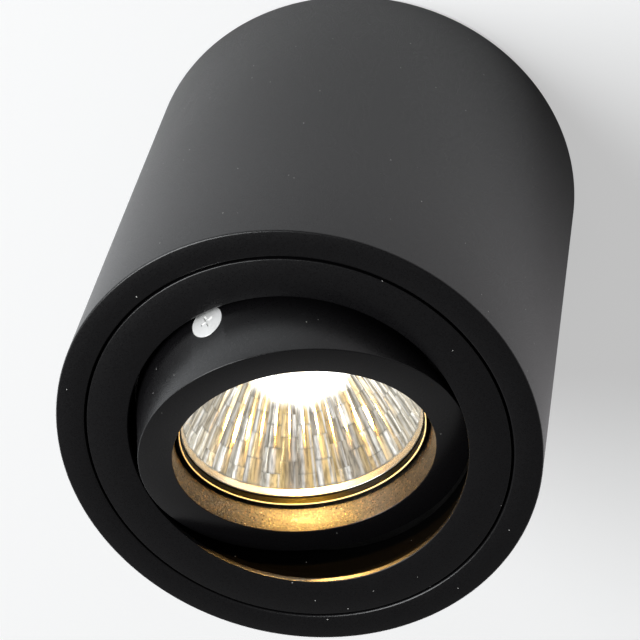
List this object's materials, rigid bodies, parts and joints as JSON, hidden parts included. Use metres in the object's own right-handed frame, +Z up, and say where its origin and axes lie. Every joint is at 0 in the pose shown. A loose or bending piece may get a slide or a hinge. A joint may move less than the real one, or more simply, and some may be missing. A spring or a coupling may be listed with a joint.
{
  "type": "surface mounted ceiling spotlight",
  "caption": "Round black surface-mounted ceiling spotlight with a tilting, turning lamp ring set in its front and a faceted twist-lock reflector lamp behind clear glass.",
  "frame": {"origin": "centre of the cable hole in the face that lies on the ceiling", "axes": "+Z points up into the ceiling along the housing's axis, so the light hangs below the origin; +X runs through the two screws that hold the housing to its plate; +Y runs along the line of the ceiling screws"},
  "size_m": [0.096, 0.096, 0.1143],
  "materials": {
    "powder_coat": "matte fine-textured powder coat on aluminium, black",
    "zinc_plate": "zinc plated sheet steel",
    "nickel": "bright nickel plated",
    "black_screw": "black oxide",
    "spring_steel": "polished spring steel",
    "brass": "machined brass",
    "rubber": "matte black rubber",
    "block_plastic": "moulded polyamide, off-white",
    "earth_sleeve": "green and yellow insulation",
    "lead_sleeve": "white silicone insulation",
    "nylon": "black nylon",
    "ceramic": "steatite ceramic, off-white",
    "mirror_glass": "faceted glass with a dichroic mirror coating",
    "clear_glass": "polished clear glass",
    "tungsten": "drawn tungsten wire"
  },
  "bodies": {
    "housing": {"housing_tube": "powder_coat", "mounting_plate": "zinc_plate", "cable_grommet": "rubber", "tube_screws": "black_screw", "terminal_block": "block_plastic", "terminal_tubes": "brass", "terminal_screws": "zinc_plate", "terminal_fixing_screws": "zinc_plate", "earth_stud": "brass", "earth_washer": "spring_steel", "earth_eyelet": "brass", "earth_nut": "brass", "earth_lead": "earth_sleeve"},
    "trim": {"trim_ring": "powder_coat", "trim_springs": "spring_steel", "spring_rivets": "nickel", "pivot_pins": "nickel", "friction_washers": "nylon"},
    "lamp_ring": {"tilt_ring": "powder_coat", "holder_strap": "zinc_plate", "strap_screws": "nickel", "lampholder": "ceramic", "holder_contacts": "brass", "holder_screws": "zinc_plate", "holder_nuts": "zinc_plate", "lamp_leads": "lead_sleeve"},
    "lamp": {"lamp_reflector": "mirror_glass", "lamp_front_glass": "clear_glass", "lamp_capsule": "clear_glass", "lamp_filament": "tungsten", "lamp_base": "ceramic", "lamp_pins": "nickel"}
  },
  "joints": [
    {"name": "trim_turn", "type": "hinge", "parent": "housing", "child": "trim", "pos_m": [0, 0, -0.09543], "axis": [0, 0, 1], "range_deg": [-175, 175], "deforming": ["lamp_leads"]},
    {"name": "ring_tilt", "type": "hinge", "parent": "trim", "child": "lamp_ring", "pos_m": [0, 0, -0.09543], "axis": [0.712, -0.7022, 0], "range_deg": [-51.4, 8.6], "deforming": ["lamp_leads"]},
    {"name": "lamp_turn", "type": "hinge", "parent": "lamp_ring", "child": "lamp", "pos_m": [0, 0, -0.09543], "axis": [-0.2562, -0.2598, 0.9311], "range_deg": [-25, 0]}
  ]
}
